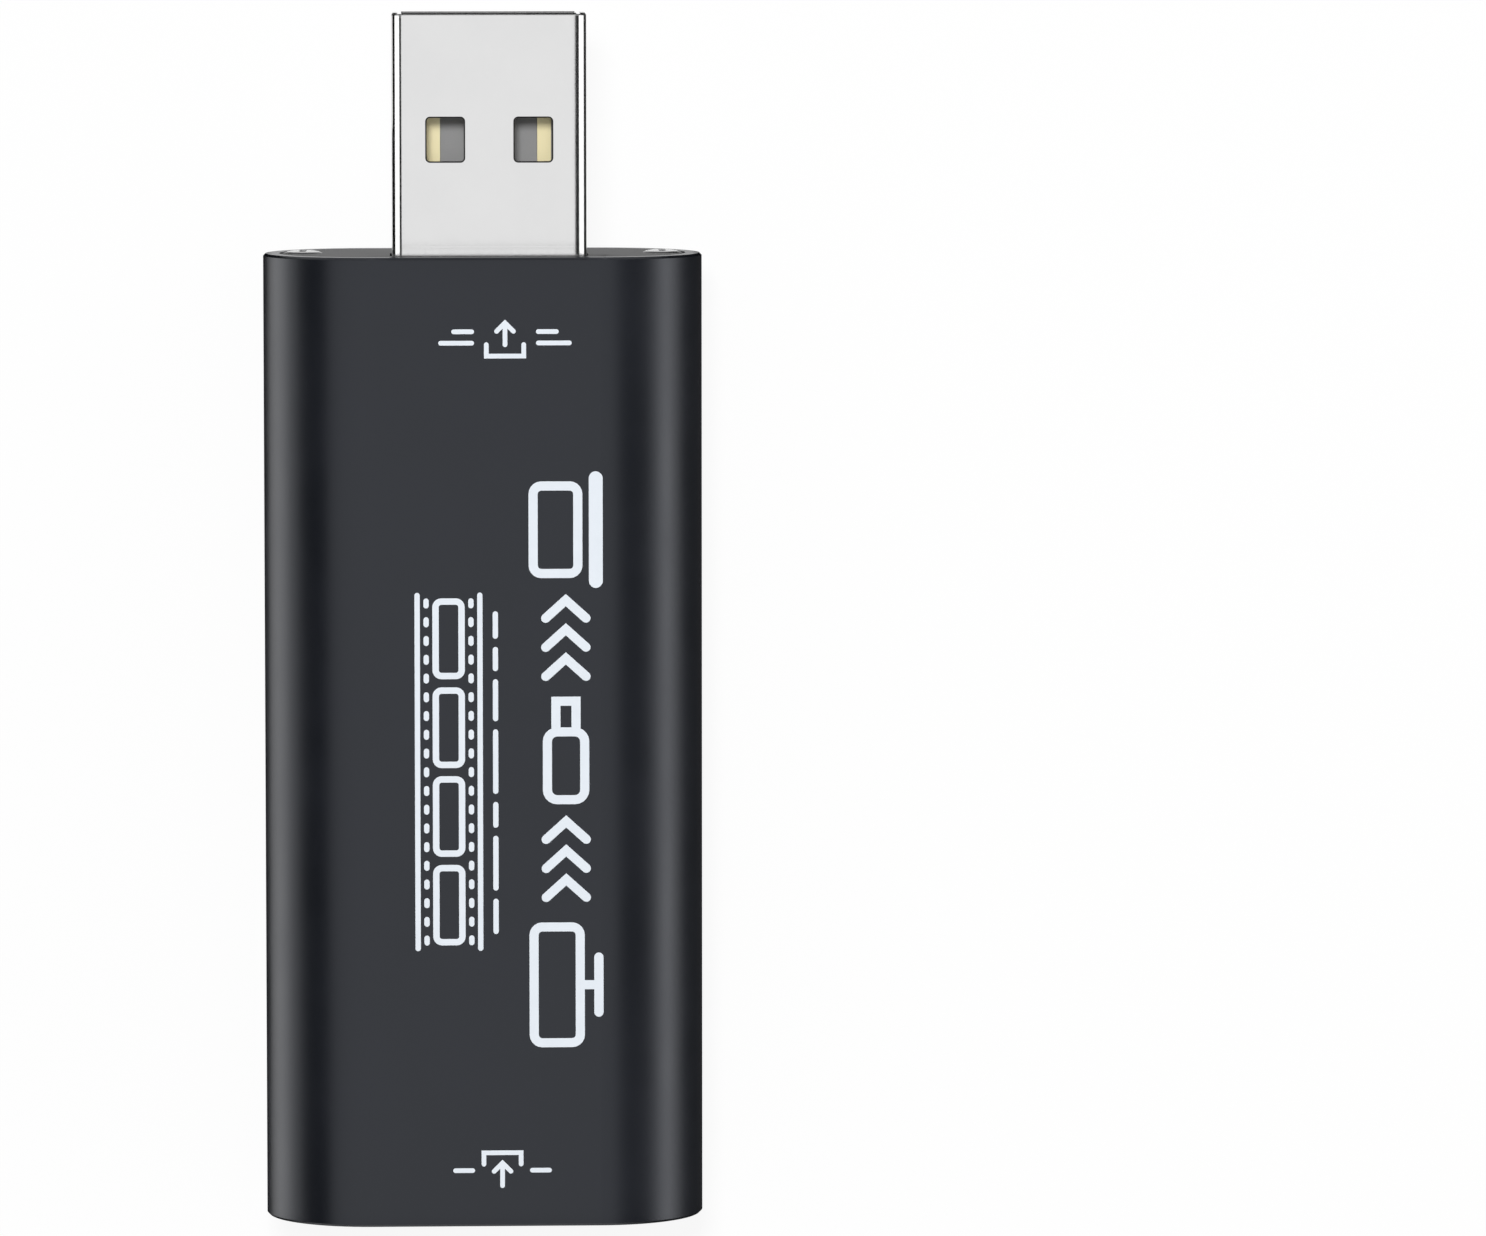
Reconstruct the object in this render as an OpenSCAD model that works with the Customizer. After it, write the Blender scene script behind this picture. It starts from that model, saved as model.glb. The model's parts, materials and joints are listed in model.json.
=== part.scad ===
// Plug-in video capture stick: an extruded sleeve closed by two inset end plates,
// with a computer plug at the +Y end, a video socket at the -Y end and a circuit
// board between them. It lies on its back: X is its width, Y its length, Z its
// thickness, and the origin is at the middle of its underside.

/* [Sleeve] */
// Width of the sleeve over its round sides
body_w = 27.2; // [25:0.1:34]
// Thickness of the sleeve, and the diameter of its round sides
body_t = 13; // [12:0.1:16]
// Length of the sleeve
body_l = 60; // [54:0.5:80]
// Wall of the sleeve
wall = 1; // [0.8:0.1:1.3]
// Chamfer round both ends of the sleeve
end_chamfer = 0.15; // [0.05:0.05:0.3]
// Outer radius of a screw port
port_r = 1.7; // [1.4:0.1:2]
// Width of the slot that runs along a screw port
port_slot = 0.7; // [0.4:0.1:1]
// Thickness of a board rail
rail_t = 0.5; // [0.4:0.1:0.8]
// How far a rail reaches over the board's edge
rail_bite = 1; // [0.6:0.1:1.6]

/* [End plates] */
// Thickness of an end plate
plate_t = 1.5; // [1.2:0.1:2.2]
// Clearance between an end plate and the sleeve
plate_gap = 0.08; // [0.04:0.02:0.16]
// Chamfer round an end plate
plate_chamfer = 0.1; // [0.05:0.05:0.2]
// Clearance between a connector and its end plate
opening_gap = 0.12; // [0.06:0.02:0.2]

/* [Screws] */
// Distance from the sleeve's side to a screw's axis
screw_inset = 2.5; // [2.4:0.1:3.2]
// Diameter of a screw's shank
screw_d = 1.4; // [1.2:0.1:1.6]
// Diameter of a screw's head
head_d = 2.36; // [2.1:0.02:2.5]
// Length of a screw below the plate's face
screw_l = 6; // [4:0.5:9]
// How far a screw's head stands proud of the plate
head_proud = 0.2; // [0.05:0.05:0.3]
// Clearance of a screw in its plate
screw_gap = 0.08; // [0.04:0.02:0.16]
// Clearance of a screw in its port
pilot_gap = 0.02; // [0.01:0.01:0.05]
// Width of an arm of the cross recess
recess_w = 0.36; // [0.25:0.01:0.45]
// Length of the cross recess from end to end
recess_span = 1.5; // [1.2:0.1:1.8]
// Depth of the cross recess
recess_depth = 0.5; // [0.3:0.05:0.55]

/* [Plug] */
// Width of the plug's shell
plug_w = 12; // [11.9:0.05:12.1]
// Height of the plug's shell
plug_h = 4.5; // [4.4:0.05:4.6]
// Sheet thickness of the plug's shell
plug_sheet = 0.3; // [0.25:0.05:0.35]
// Outer bend radius of the plug's shell
plug_bend = 0.64; // [0.5:0.02:0.8]
// Length of the plug outside the sleeve
plug_out = 14.95; // [11.8:0.05:17]
// Length of the plug's shell inside the sleeve
plug_in = 5.5; // [5:0.1:8]
// Length of the moulded heel that stands on the board behind the shell
heel_l = 1.2; // [0.8:0.1:2]
// Distance from the sleeve's front to the plug's shell
plug_from_front = 1.85; // [1.7:0.05:4]
// Sideways offset of the plug from the sleeve's middle
plug_offset = 0.36; // [-0.6:0.02:0.6]
// Length of the lips that lean in round the plug's mouth
lip_l = 0.16; // [0.1:0.02:0.3]
// How far those lips lean in
lip_in = 0.1; // [0.04:0.02:0.16]
// Width of a latch window
window_w = 2.46; // [2:0.02:2.7]
// Length of a latch window
window_l = 2.84; // [2:0.02:3]
// Corner radius of a latch window
window_r = 0.3; // [0.15:0.05:0.5]
// Distance between the centres of two latch windows
window_pitch = 5.42; // [5:0.02:5.8]
// Distance from the plug's mouth to a latch window
window_from_mouth = 6.36; // [5:0.02:7]
// Thickness of the tongue
tongue_t = 1.9; // [1.7:0.05:2]
// Distance from the plug's mouth to the tip of the tongue
tongue_from_mouth = 0.5; // [0.3:0.1:1]
// Depth of the plug's hollow above the tongue
plug_depth = 11.2; // [9.5:0.1:11.6]
// Chamfer at the tip of the tongue
tongue_chamfer = 0.4; // [0.2:0.05:0.7]
// Width of a plug contact
plug_contact_w = 0.85; // [0.8:0.05:1.1]
// Thickness of a plug contact
plug_contact_t = 0.25; // [0.2:0.05:0.3]
// Distance between the centres of the two outer contacts
outer_pitch = 6.85; // [6.8:0.05:7.2]
// Distance between the centres of the two inner contacts
inner_pitch = 2; // [1.8:0.05:2.2]
// Distance from the tip of the tongue to the outer contacts
outer_from_tip = 0.7; // [0.6:0.1:1.2]
// Distance from the tip of the tongue to the inner contacts
inner_from_tip = 1.7; // [1.5:0.1:2.4]

/* [Video socket] */
// Width of the socket's opening
socket_w = 14; // [13.9:0.05:14.2]
// Height of the socket's opening
socket_h = 4.55; // [4.5:0.05:4.7]
// Width of the narrow side of the opening
socket_foot_w = 10.6; // [10:0.1:11]
// Height of the slanted stretch of the opening's sides
socket_slant_h = 1.9; // [1.6:0.1:2.2]
// Sheet thickness of the socket's shell
socket_sheet = 0.3; // [0.25:0.05:0.35]
// Inner bend radius of the socket's shell
socket_bend = 0.3; // [0.2:0.05:0.4]
// Length of the socket's shell
socket_l = 11.6; // [10.5:0.1:13]
// Depth of the socket's hollow round its tongue
socket_depth = 7.6; // [7.2:0.1:8.4]
// Width of the socket's tongue
blade_w = 11; // [10.8:0.1:11.4]
// Thickness of the socket's tongue
blade_t = 1.2; // [1.1:0.05:1.4]
// Distance from the socket's mouth to the tip of its tongue
blade_from_mouth = 1; // [0.7:0.1:1.4]
// Chamfer at the tip of the socket's tongue
blade_chamfer = 0.25; // [0.15:0.05:0.35]
// Number of contacts on the upper side of the tongue
upper_count = 10; // [4:1:10]
// Distance between the centres of neighbouring socket contacts
socket_pitch = 1; // [0.9:0.05:1.05]
// Width of a socket contact
socket_contact_w = 0.3; // [0.22:0.02:0.34]
// Thickness of a socket contact
socket_contact_t = 0.15; // [0.12:0.01:0.2]
// Distance from the tip of the tongue to the contacts
socket_contact_from_tip = 0.5; // [0.4:0.1:0.9]
// Width of a spring finger in the shell
finger_w = 1.7; // [1.2:0.1:2]
// Length of a spring finger
finger_l = 4; // [3:0.1:4.4]
// Width of the slot round a spring finger
finger_slot = 0.3; // [0.2:0.05:0.4]
// How far a spring finger dips into the opening
finger_dip = 0.4; // [0.2:0.05:0.5]
// Distance from the socket's mouth to a finger's tip
finger_from_mouth = 2.4; // [2:0.1:2.8]
// Distance between the centres of the two fingers on one side
finger_pitch = 6; // [5:0.1:7]

/* [Connector legs] */
// Length of a leg along the board
leg_l = 1.4; // [1:0.1:1.6]
// How far a leg reaches below the board
leg_below = 0.5; // [0.3:0.1:0.8]
// Clearance of a leg in its slot in the board
leg_gap = 0.12; // [0.08:0.02:0.2]
// Distance from the plug end's outer face to the plug's legs
plug_leg_from_face = 3.8; // [3.6:0.1:4.2]
// Distances from the socket end's outer face to the socket's legs
socket_legs_from_face = [3.6, 9.4];
// Length of a contact's foot on the board
foot_l = 0.9; // [0.6:0.1:1.2]
// Distance from an insulator's back to a contact's bend
tail_gap = 0.3; // [0.2:0.05:0.5]
// Clearance of an insulator in its shell, and of a contact in its channel
mould_gap = 0.03; // [0.02:0.01:0.04]
// How far a contact stands proud of its tongue
contact_proud = 0.05; // [0.02:0.01:0.08]

/* [Circuit board] */
// Thickness of the board
board_t = 1.2; // [1:0.1:1.6]
// Clearance between the board's edges and the sleeve's wall
board_side_gap = 0.3; // [0.2:0.05:0.6]
// Clearance above the board in its grooves
board_top_gap = 0.1; // [0.05:0.05:0.2]
// Clearance between the board's ends and the end plates
board_end_gap = 0.2; // [0.1:0.05:0.4]

/* [Board parts] */
// Width of the capture chip
chip_w = 9; // [8:0.5:10]
// Thickness of the capture chip
chip_t = 0.9; // [0.7:0.05:1.2]
// Size of the cut corner and the dimple that mark a chip's first pin
chip_mark = 0.5; // [0.4:0.1:0.8]
// Length of the memory chip
memory_l = 4.9; // [4.4:0.1:5.2]
// Width of the memory chip
memory_w = 3.9; // [3.6:0.1:4.2]
// Thickness of the memory chip above the board
memory_t = 1.5; // [1.2:0.1:1.8]
// Distance between the memory chip's leads
memory_pitch = 1.27; // [1:0.01:1.27]
// Length of a voltage regulator
regulator_l = 2.9; // [2.6:0.1:3.1]
// Width of a voltage regulator
regulator_w = 1.5; // [1.3:0.1:1.7]
// Thickness of a voltage regulator above the board
regulator_t = 1.1; // [0.9:0.05:1.3]
// Distance between a voltage regulator's leads
regulator_pitch = 0.95; // [0.85:0.05:1]
// Distance between the two voltage regulators
regulator_spacing = 5; // [4:0.1:6]
// Width of a lead
lead_w = 0.4; // [0.3:0.02:0.45]
// Thickness of a lead
lead_t = 0.16; // [0.12:0.02:0.2]
// How far a lead reaches out from its chip
lead_reach = 1; // [0.8:0.1:1.2]
// Gap below the body of a part that stands on leads
lead_lift = 0.12; // [0.05:0.01:0.2]
// Length of the clock crystal
crystal_l = 3.2; // [2.5:0.1:4]
// Width of the clock crystal
crystal_w = 2.5; // [2:0.1:3]
// Thickness of the clock crystal
crystal_t = 0.75; // [0.6:0.05:1]
// Number of surge arrays behind the video socket
surge_count = 4; // [2:1:4]
// Length, width and thickness of a surge array
surge_size = [2.5, 1, 0.55];
// Length, width and thickness of a ferrite bead
bead_size = [2, 1.25, 0.9];
// Length, width and thickness of a capacitor
capacitor_size = [1.6, 0.8, 0.8];
// Length, width and thickness of a resistor
resistor_size = [1.6, 0.8, 0.45];
// Length of the metal cap on each end of a small part
cap_l = 0.3; // [0.2:0.05:0.4]
// How far a metal cap stands out round a small part
cap_step = 0.03; // [0.02:0.01:0.06]
// Distance between the small parts in a row beside the chip
row_pitch = 2.2; // [1.6:0.1:2.4]
// Gap between the rows of parts
row_gap = 2.2; // [1.6:0.1:2.6]

/* [Hidden] */
$fn = 72;
// How far a cutting shape runs past the face that it cuts
cut = 1;

overall_l = head_proud + body_l + plug_out;
socket_face = head_proud - overall_l / 2;
plug_face = socket_face + body_l;
plug_mouth = plug_face + plug_out;
plug_back = plug_face - plug_in;
mid_z = body_t / 2;
side_r = body_t / 2;
side_x = body_w / 2 - side_r;
inner_w = body_w - 2 * wall;
inner_t = body_t - 2 * wall;

head_r = head_d / 2;
shank_r = screw_d / 2;
// Straight steps in the side view of a screw's dome, from its rim to its middle
dome_steps = 8;
screw_x = body_w / 2 - screw_inset;

// The video socket lies flat on the board and is centred in the sleeve's thickness.
board_top = mid_z - socket_h / 2 - socket_sheet;
board_bottom = board_top - board_t;
board_w = 2 * (side_x + sqrt(pow(inner_t / 2, 2) - pow(mid_z - board_bottom, 2)) - board_side_gap);
board_start = socket_face + plate_t + board_end_gap;
board_end = plug_face - plate_t - board_end_gap;

plug_top = body_t - plug_from_front;
plug_base = plug_top - plug_h;
plug_floor = plug_base + plug_sheet;
heel_back = plug_back - heel_l;
tongue_top = plug_floor + tongue_t;
tongue_tip = plug_mouth - tongue_from_mouth;
tongue_root = plug_mouth - plug_depth;
plug_tail_end = heel_back - tail_gap - plug_contact_t - foot_l;

socket_floor = board_top + socket_sheet;
socket_back = socket_face + socket_l;
socket_ceiling = socket_floor + socket_h;
blade_tip = socket_face + blade_from_mouth;
blade_root = socket_face + socket_depth;
blade_top = socket_floor + (socket_h + blade_t) / 2;
blade_bottom = blade_top - blade_t;
socket_tail_end = socket_back + tail_gap + socket_contact_t + foot_l;

// The chip sits half way between the connectors' feet.
chip_y = (socket_tail_end + plug_tail_end) / 2;
chip_side = chip_w / 2 + row_gap;
surge_y = socket_tail_end + row_gap;
resistor_y = surge_y + row_gap;
regulator_y = plug_tail_end - row_gap - lead_reach;

// Outlines are listed anticlockwise.
function rectangle(w, low, high) = [[-w / 2, low], [w / 2, low], [w / 2, high], [-w / 2, high]];
// Unit vector square to an edge, to the inside of its outline
function inward(a, b) = let (u = (b - a) / norm(b - a)) [-u.y, u.x];
// Outline with every edge moved in by d, or out where d is below 0
function inset(outline, d) = let (n = len(outline)) [
    for (i = [0 : n - 1])
        let (
            before = inward(outline[(i + n - 1) % n], outline[i]),
            after = inward(outline[i], outline[(i + 1) % n])
        )
        outline[i] + d * (before + after) / (1 + before * after)
];

// Outline with its corners rounded to radius r by true arcs
module rounded(outline, r) {
    core = inset(outline, r);
    n = len(core);
    polygon(core);
    for (i = [0 : n - 1]) {
        a = core[i];
        b = core[(i + 1) % n];
        out = -r * inward(a, b);
        polygon([a, a + out, b + out, b]);
        translate(a) circle(r);
    }
}

// Carries a profile drawn in X and Z along Y
module along_y(from, to) {
    translate([0, to, 0]) rotate([90, 0, 0]) linear_extrude(to - from) children();
}

// Carries a profile drawn in Y and Z along X, evenly to both sides of the middle
module along_x(w) {
    rotate([90, 0, 90]) linear_extrude(w, center = true) children();
}

// Carries a profile drawn in X and Y up along Z
module along_z(from, to) {
    translate([0, 0, from]) linear_extrude(to - from) children();
}

// Draws its children on both sides of the middle plane
module both_sides() {
    for (side = [0, 1]) mirror([side, 0, 0]) children();
}

// Bar of stadium section that lies along Y from y = 0 with its underside at z = 0,
// with chamfer c round both ends: two half turns of one profile, joined by a flat bar
module stadium_bar(w, t, l, c) {
    r = t / 2;
    flat = w - t;
    half = c > 0 ? [[0, 0], [r - c, 0], [r, c], [r, l - c], [r - c, l], [0, l]] : [[0, 0], [r, 0], [r, l], [0, l]];
    full = c > 0
        ? [[0, c - r], [c, -r], [l - c, -r], [l, c - r], [l, r - c], [l - c, r], [c, r], [0, r - c]]
        : [[0, -r], [l, -r], [l, r], [0, r]];
    translate([0, 0, r]) {
        both_sides() translate([flat / 2, 0, 0]) rotate([-90, -90, 0]) rotate_extrude(angle = 180) polygon(half);
        along_x(flat) polygon(full);
    }
}

// Section of the screw port and the board rails at the +X side, in X and Z
module rib_section() {
    rail_x = board_w / 2 - rail_bite;
    difference() {
        intersection() {
            translate([side_x, mid_z]) circle(side_r - wall / 2);
            union() {
                translate([screw_x, mid_z]) circle(port_r);
                translate([screw_x, mid_z - port_r / 2]) square([screw_inset, port_r]);
                translate([rail_x, board_bottom - rail_t]) square([body_w / 2 - rail_x, rail_t]);
                translate([rail_x, board_top + board_top_gap]) square([body_w / 2 - rail_x, rail_t]);
            }
        }
        translate([screw_x, mid_z]) circle(shank_r + pilot_gap);
        translate([screw_x - port_r - cut, mid_z - port_slot / 2]) square([port_r + cut, port_slot]);
    }
}

// Extruded sleeve. Its ports and rails are milled back at both ends to seat the end plates.
module housing() {
    color("#38393d") {
        difference() {
            translate([0, socket_face, 0]) stadium_bar(body_w, body_t, body_l, end_chamfer);
            translate([0, socket_face - cut, wall]) stadium_bar(inner_w, inner_t, body_l + 2 * cut, 0);
        }
        both_sides() along_y(socket_face + plate_t, plug_face - plate_t) rib_section();
    }
}

// Puts its children at an end's two screws, with +Z out of the end
module at_plug_end_screws() {
    for (side = [-1, 1]) translate([side * screw_x, plug_face, mid_z]) rotate([-90, 0, 0]) children();
}
module at_socket_end_screws() {
    for (side = [-1, 1]) translate([side * screw_x, socket_face, mid_z]) rotate([90, 0, 0]) children();
}

// Countersunk hole for a screw, from the plate's face down
module screw_hole() {
    hole_r = shank_r + screw_gap;
    rotate_extrude()
        polygon([
            [0, -plate_t - cut], [hole_r, -plate_t - cut], [hole_r, hole_r - head_r],
            [head_r, 0], [head_r, cut], [0, cut]
        ]);
}

// Side view of a screw's dome, from its rim to its middle: it falls off with the square of the radius
function dome_section() = [
    for (i = [0 : dome_steps]) let (share = 1 - i / dome_steps) [head_r * share, head_proud * (1 - share * share)]
];

// Screw with a domed countersunk head, a cross recess and a pointed end
module screw() {
    difference() {
        rotate_extrude()
            polygon(concat(
                [[0, -screw_l], [shank_r, shank_r - screw_l], [shank_r, shank_r - head_r]],
                dome_section()
            ));
        along_z(head_proud - recess_depth, head_proud + cut) {
            square([recess_span, recess_w], center = true);
            square([recess_w, recess_span], center = true);
        }
    }
}

// Moves its children to the plug's place beside the sleeve's middle
module at_plug() {
    translate([plug_offset, 0, 0]) children();
}

// Plate that closes an end of the sleeve, before it is cut for its connector
module plate_blank(start) {
    translate([0, start, wall + plate_gap])
        stadium_bar(inner_w - 2 * plate_gap, inner_t - 2 * plate_gap, plate_t, plate_chamfer);
}

module plug_end_plate() {
    color("#414246") difference() {
        plate_blank(plug_face - plate_t);
        at_plug_end_screws() screw_hole();
        at_plug() along_y(plug_face - plate_t - cut, plug_face + cut)
            rounded(plug_outline(-opening_gap), plug_bend + opening_gap);
    }
}

module socket_end_plate() {
    color("#414246") difference() {
        plate_blank(socket_face);
        at_socket_end_screws() screw_hole();
        along_y(socket_face - cut, socket_face + plate_t + cut)
            rounded(
                inset(socket_outline(), -socket_sheet - opening_gap),
                socket_bend + socket_sheet + opening_gap
            );
    }
}

module plug_end_screws() {
    color("#b9babd") at_plug_end_screws() screw();
}

module socket_end_screws() {
    color("#b9babd") at_socket_end_screws() screw();
}

// Outline of the plug's shell, moved in by d, in X and Z
function plug_outline(d) = rectangle(plug_w - 2 * d, plug_base + d, plug_top - d);

// Leg of a connector's shell: a tab that carries its side wall down through the board
module leg(x, y, sheet, top) {
    translate([x, y - leg_l / 2, board_bottom - leg_below]) cube([sheet, leg_l, top - board_bottom + leg_below]);
}

// Slot in the board for such a leg
module leg_slot(x, y, sheet) {
    translate([x - leg_gap, y - leg_l / 2 - leg_gap]) square([sheet + 2 * leg_gap, leg_l + 2 * leg_gap]);
}

// Section through a lip at the plug's mouth: across from the outer face, and along Y
function lip_section() = [
    [0, 0], [-plug_sheet, 0], [-plug_sheet - lip_in, lip_l], [-lip_in, lip_l]
];

// Folded shell with a lip on each side of its mouth and latch windows in both wide faces
module plug_shell() {
    middle = (plug_base + plug_top) / 2;
    color("#d9dadc") at_plug() difference() {
        union() {
            along_y(plug_back, plug_mouth - lip_l) difference() {
                rounded(plug_outline(0), plug_bend);
                rounded(plug_outline(plug_sheet), plug_bend - plug_sheet);
            }
            both_sides() {
                translate([plug_w / 2, plug_mouth - lip_l, 0])
                    along_z(plug_base + plug_bend, plug_top - plug_bend) polygon(lip_section());
                leg(plug_w / 2 - plug_sheet, plug_face - plug_leg_from_face, plug_sheet, middle);
            }
            translate([0, plug_mouth - lip_l, middle]) for (turn = [0, 180]) rotate([0, turn, 0])
                translate([0, 0, plug_h / 2]) rotate([0, -90, 0])
                    linear_extrude(plug_w - 2 * plug_bend, center = true) polygon(lip_section());
        }
        both_sides() translate([window_pitch / 2, plug_mouth - window_from_mouth])
            along_z(plug_base - cut, plug_top + cut) rounded(rectangle(window_w, -window_l, 0), window_r);
    }
}

// Places and tips of the four plug contacts, from the power contact to the ground contact
plug_contact_x = [-outer_pitch / 2, -inner_pitch / 2, inner_pitch / 2, outer_pitch / 2];
plug_contact_tip = [
    for (gap = [outer_from_tip, inner_from_tip, inner_from_tip, outer_from_tip]) tongue_tip - gap
];
plug_contact_top = tongue_top + contact_proud;

// Moulded block that fills the back of the shell, with the tongue, channels for the contacts
// and the heel that carries the plug above the board
module plug_insulator() {
    block_w = plug_w - 2 * (plug_sheet + mould_gap);
    block_top = plug_top - plug_sheet - mould_gap;
    color("#8d8e91") at_plug() difference() {
        union() {
            along_y(plug_back, tongue_root)
                rounded(rectangle(block_w, plug_floor, block_top), plug_bend - plug_sheet);
            along_y(heel_back, plug_back) polygon(rectangle(plug_w, board_top, block_top));
            along_x(block_w - 2 * (plug_bend - plug_sheet)) polygon([
                [tongue_root, plug_floor], [tongue_tip, plug_floor], [tongue_tip, tongue_top - tongue_chamfer],
                [tongue_tip - tongue_chamfer, tongue_top], [tongue_root, tongue_top]
            ]);
        }
        for (i = [0 : 3]) translate([plug_contact_x[i], 0, 0])
            along_x(plug_contact_w + 2 * mould_gap) polygon([
                [heel_back - cut, plug_contact_top - plug_contact_t],
                [plug_contact_tip[i] + mould_gap, plug_contact_top - plug_contact_t],
                [plug_contact_tip[i] + mould_gap, plug_contact_top + mould_gap],
                [heel_back - cut, plug_contact_top + mould_gap]
            ]);
    }
}

// Side view of a flat contact: along its tongue from the tip, down behind its block at bend,
// and along the board on a foot. It runs towards +Y where way is 1 and towards -Y where way is -1.
function contact_section(tip, top, bend, t, way) = [
    [tip, top], [bend + way * t, top], [bend + way * t, board_top + t],
    [bend + way * (t + foot_l), board_top + t], [bend + way * (t + foot_l), board_top],
    [bend, board_top], [bend, top - t], [tip, top - t]
];

module plug_contact(i) {
    color("#e2cf8e") at_plug() translate([plug_contact_x[i], 0, 0]) along_x(plug_contact_w)
        polygon(contact_section(plug_contact_tip[i], plug_contact_top, heel_back - tail_gap, plug_contact_t, -1));
}
module plug_contact_power() { plug_contact(0); }
module plug_contact_data_minus() { plug_contact(1); }
module plug_contact_data_plus() { plug_contact(2); }
module plug_contact_ground() { plug_contact(3); }

// Outline of the socket's opening, wide above and narrow below, in X and Z
function socket_outline() = [
    [-socket_foot_w / 2, socket_floor], [socket_foot_w / 2, socket_floor],
    [socket_w / 2, socket_floor + socket_slant_h], [socket_w / 2, socket_ceiling],
    [-socket_w / 2, socket_ceiling], [-socket_w / 2, socket_floor + socket_slant_h]
];

// Side view of a spring finger that hangs from z = 0 and dips down, from its root to its tip
function finger_section() = [
    [finger_l, 0], [finger_l / 4, -finger_dip], [0, -finger_dip / 3],
    [0, -finger_dip / 3 - socket_sheet], [finger_l / 4, -finger_dip - socket_sheet], [finger_l, -socket_sheet]
];

// Folded shell with spring fingers cut in its upper and lower walls and four legs
module socket_shell() {
    finger_y = socket_face + finger_from_mouth;
    color("#c9cacd") {
        difference() {
            along_y(socket_face, socket_back) difference() {
                rounded(inset(socket_outline(), -socket_sheet), socket_bend + socket_sheet);
                rounded(socket_outline(), socket_bend);
            }
            both_sides() translate([finger_pitch / 2, finger_y, 0])
                along_z(board_top - cut, socket_ceiling + socket_sheet + cut)
                    translate([-finger_w / 2 - finger_slot, -finger_slot])
                        square([finger_w + 2 * finger_slot, finger_l + finger_slot]);
        }
        both_sides() {
            translate([finger_pitch / 2, finger_y, socket_ceiling + socket_sheet])
                along_x(finger_w) polygon(finger_section());
            translate([finger_pitch / 2, finger_y, board_top]) mirror([0, 0, 1])
                along_x(finger_w) polygon(finger_section());
            for (y = socket_legs_from_face)
                leg(socket_w / 2, socket_face + y, socket_sheet, socket_floor + socket_slant_h + leg_l);
        }
    }
}

lower_count = upper_count - 1;
upper_contact_top = blade_top + contact_proud;
lower_contact_top = blade_bottom - contact_proud + socket_contact_t;
// Place of contact i in a centred row
function row_x(i, count, pitch) = (i - (count - 1) / 2) * pitch;

// Moulded block that fills the back of the shell, with the tongue and channels for both rows
module socket_insulator() {
    tip = blade_tip + socket_contact_from_tip - mould_gap;
    color("#26272a") difference() {
        union() {
            along_y(blade_root, socket_back)
                translate([0, -mould_gap]) rounded(inset(socket_outline(), mould_gap), socket_bend);
            along_x(blade_w) polygon([
                [blade_tip, blade_bottom + blade_chamfer], [blade_tip + blade_chamfer, blade_bottom],
                [blade_root, blade_bottom], [blade_root, blade_top],
                [blade_tip + blade_chamfer, blade_top], [blade_tip, blade_top - blade_chamfer]
            ]);
        }
        for (i = [0 : upper_count - 1])
            contact_channel(
                row_x(i, upper_count, socket_pitch), tip,
                upper_contact_top - socket_contact_t, upper_contact_top + mould_gap
            );
        for (i = [0 : lower_count - 1])
            contact_channel(
                row_x(i, lower_count, socket_pitch), tip,
                lower_contact_top - socket_contact_t - mould_gap, lower_contact_top
            );
    }
}

// Channel for one socket contact, from its tip out through the back of the block
module contact_channel(x, tip, low, high) {
    w = socket_contact_w + 2 * mould_gap;
    translate([x - w / 2, tip, low]) cube([w, socket_back - tip + cut, high - low]);
}

module socket_contact_row(count, top) {
    for (i = [0 : count - 1]) translate([row_x(i, count, socket_pitch), 0, 0]) along_x(socket_contact_w)
        polygon(contact_section(
            blade_tip + socket_contact_from_tip, top, socket_back + tail_gap, socket_contact_t, 1
        ));
}

module socket_upper_contacts() {
    color("#e2cf8e") socket_contact_row(upper_count, upper_contact_top);
}

module socket_lower_contacts() {
    color("#e2cf8e") socket_contact_row(lower_count, lower_contact_top);
}

// Board that slides in the sleeve's grooves, with slots for the connectors' legs
module circuit_board() {
    color("#1f4a35") along_z(board_bottom, board_top) difference() {
        translate([-board_w / 2, board_start]) square([board_w, board_end - board_start]);
        at_plug() both_sides() leg_slot(plug_w / 2 - plug_sheet, plug_face - plug_leg_from_face, plug_sheet);
        both_sides() for (y = socket_legs_from_face) leg_slot(socket_w / 2, socket_face + y, socket_sheet);
    }
}

// Moulded chip body from z = 0 up, with a dimple by its first pin
module chip_body(l, w, t) {
    difference() {
        translate([-l / 2, -w / 2, 0]) cube([l, w, t]);
        translate([chip_mark * 1.5 - l / 2, chip_mark * 1.5 - w / 2, t - chip_mark / 4]) cylinder(h = cut, d = chip_mark);
    }
}

// Flat-bottomed chip whose first corner is cut
module capture_chip() {
    color("#232427") translate([0, chip_y, board_top]) difference() {
        chip_body(chip_w, chip_w, chip_t);
        translate([-chip_w / 2, -chip_w / 2, -cut]) rotate(45)
            cube([chip_mark, chip_mark, 2 * (chip_t + cut)], center = true);
    }
}

// Side view of a bent lead, from its chip's side at half the chip's height out to a foot on the board
function lead_section(body_t) = let (top = (body_t + lead_lift + lead_t) / 2, knee = lead_reach / 2) [
    [0, top - lead_t], [knee - lead_t, top - lead_t], [knee - lead_t, 0], [lead_reach, 0],
    [lead_reach, lead_t], [knee, lead_t], [knee, top], [0, top]
];

// Lead that leaves a chip's +X side at x
module lead(x, y, body_t) {
    translate([x, y, 0]) rotate([90, 0, 0])
        linear_extrude(lead_w, center = true) polygon(lead_section(body_t));
}

memory_x = chip_w / 2 + memory_w / 2 - lead_reach;
memory_y = chip_y + chip_w / 2 + row_gap + memory_l / 2;

module memory_chip() {
    color("#232427") translate([memory_x, memory_y, board_top + lead_lift])
        chip_body(memory_w, memory_l, memory_t - lead_lift);
}

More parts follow.
